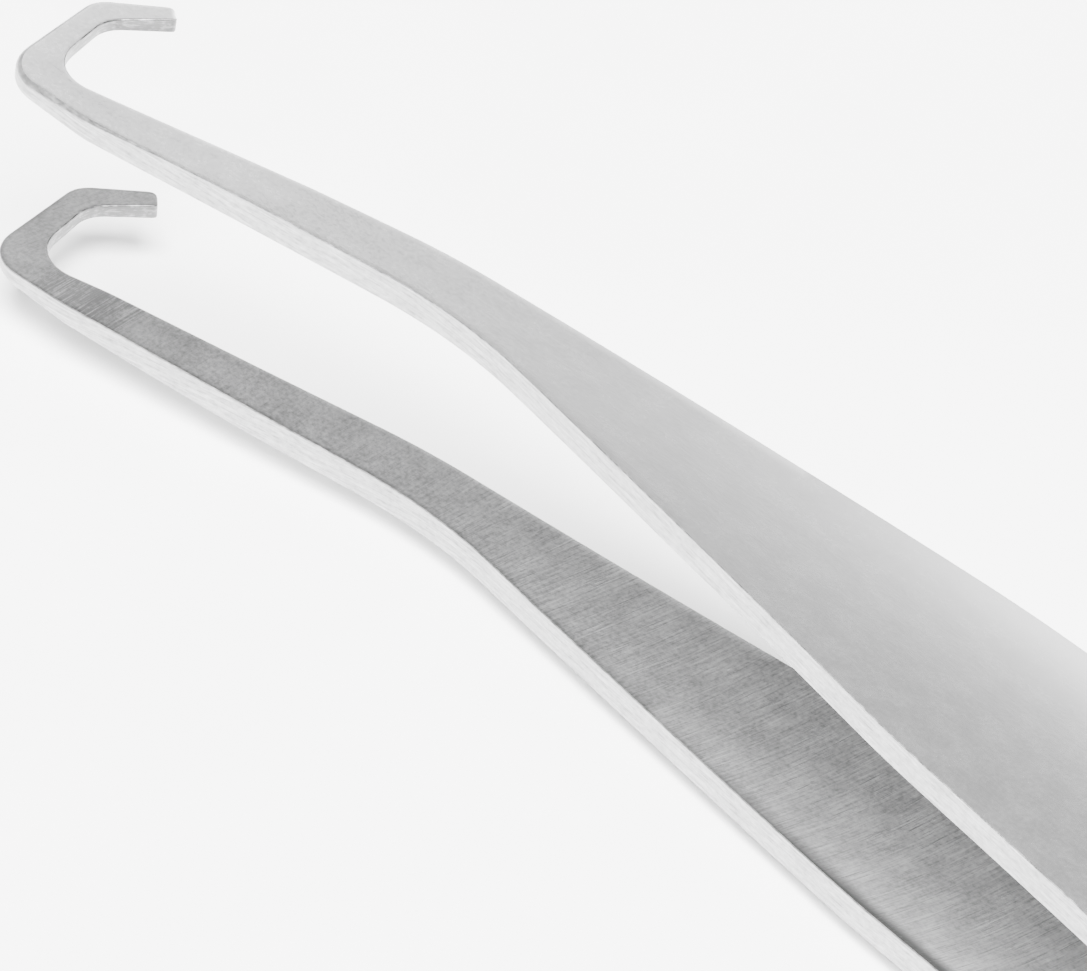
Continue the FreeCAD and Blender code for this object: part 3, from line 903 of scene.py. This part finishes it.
class TWEEZERS_OT_stage(bpy.types.Operator):
    """Sets the floor, the soft light and the camera"""
    bl_idname = "tweezers.stage"
    bl_label = "Stage"

    def execute(self, context):
        scene = context.scene
        self.floor(scene)
        self.light(scene)
        self.camera(scene)
        return {"FINISHED"}

    def floor(self, scene):
        half = FLOOR_HALF
        mesh = bpy.data.meshes.new("floor")
        mesh.from_pydata([(-half, -half, 0), (half, -half, 0), (half, half, 0), (-half, half, 0)],
                         [], [(0, 1, 2, 3)])
        floor = bpy.data.objects.new("floor", mesh)
        floor.location.z = CAD_BOX[0][2] - FLOOR_GAP
        scene.collection.objects.link(floor)
        mesh.materials.append(pale_floor())

    def light(self, scene):
        world = bpy.data.worlds.new("light tent")
        world.use_nodes = True
        tree = world.node_tree
        direction = node(tree, "ShaderNodeTexCoord", {}, {}, output=0)
        across, away, height = (node(tree, "ShaderNodeSeparateXYZ", {}, {0: direction}, output=k)
                                for k in range(3))
        by_height = node(tree, "ShaderNodeMapRange",
                         {"clamp": True, "interpolation_type": "SMOOTHSTEP"},
                         {"Value": height, "From Min": 0.1, "From Max": 0.85,
                          "To Min": HORIZON_GLOW, "To Max": OVERHEAD_GLOW})
        by_side = node(tree, "ShaderNodeMapRange",
                       {"clamp": True, "interpolation_type": "SMOOTHSTEP"},
                       {"Value": away - across, "From Min": -1.2, "From Max": 0.8,
                        "To Min": DARK_SIDE_SHARE, "To Max": 1.0})
        glow = by_height * by_side
        sky = tree.nodes["Background"]
        sky.inputs["Color"].default_value = (1.0, 1.0, 1.0, 1.0)
        tree.links.new(glow.socket, sky.inputs["Strength"])
        scene.world = world
        lamps = (
            # name, position, size, power
            ("key", (0.64, -0.64, 1.69), 1.2, 370.0),
            ("far_softbox", (-1.0, 1.0, 0.25), 0.8, 4.0),
        )
        for name, position, size, power in lamps:
            data = bpy.data.lights.new(name, "AREA")
            data.shape = "SQUARE"
            data.size = size
            data.energy = power
            lamp = bpy.data.objects.new(name, data)
            lamp.location = position
            lamp.rotation_euler = (-Vector(position)).to_track_quat("-Z", "Y").to_euler()
            scene.collection.objects.link(lamp)

    def camera(self, scene):
        stage = scene.tweezers_stage
        data = bpy.data.cameras.new("camera")
        data.lens = stage.lens
        data.clip_start = 0.01
        camera = bpy.data.objects.new("camera", data)
        target = TOOL @ Vector(stage.target)
        back = Vector((math.sin(stage.azimuth) * math.cos(stage.elevation),
                       -math.cos(stage.azimuth) * math.cos(stage.elevation),
                       math.sin(stage.elevation)))
        right = Vector((math.cos(stage.azimuth), math.sin(stage.azimuth), 0))
        turned = Matrix.Rotation(stage.roll, 3, back)
        right, over = turned @ right, turned @ back.cross(right)
        axes = Matrix((right, over, back)).transposed()
        camera.matrix_world = Matrix.Translation(target + back * stage.distance) @ axes.to_4x4()
        scene.collection.objects.link(camera)
        scene.camera = camera


class TWEEZERS_PT_panel(bpy.types.Panel):
    """Lists the sizes, the stage and the pieces"""
    bl_idname = "TWEEZERS_PT_panel"
    bl_label = "Tweezers"
    bl_space_type = "VIEW_3D"
    bl_region_type = "UI"
    bl_category = "Tweezers"

    def draw(self, context):
        for group in (context.scene.tweezers_looks, context.scene.tweezers_stage):
            for name in group.__annotations__:
                self.layout.prop(group, name)
        for operator in OPERATORS:
            self.layout.operator(operator.bl_idname)


OPERATORS = (TWEEZERS_OT_stage, TWEEZERS_OT_upper_arm, TWEEZERS_OT_lower_arm,
             TWEEZERS_OT_spacer, TWEEZERS_OT_rivets)
CLASSES = (TweezersLooks, TweezersStage, *OPERATORS, TWEEZERS_PT_panel)


def register():
    for cls in CLASSES:
        bpy.utils.register_class(cls)
    bpy.types.Scene.tweezers_looks = bpy.props.PointerProperty(type=TweezersLooks)
    bpy.types.Scene.tweezers_stage = bpy.props.PointerProperty(type=TweezersStage)


def unregister():
    del bpy.types.Scene.tweezers_stage
    del bpy.types.Scene.tweezers_looks
    for cls in reversed(CLASSES):
        bpy.utils.unregister_class(cls)


def main():
    register()
    bpy.ops.tweezers.stage()
    bpy.ops.tweezers.upper_arm()
    bpy.ops.tweezers.lower_arm()
    bpy.ops.tweezers.spacer()
    bpy.ops.tweezers.rivets()


if __name__ == "__main__":
    main()
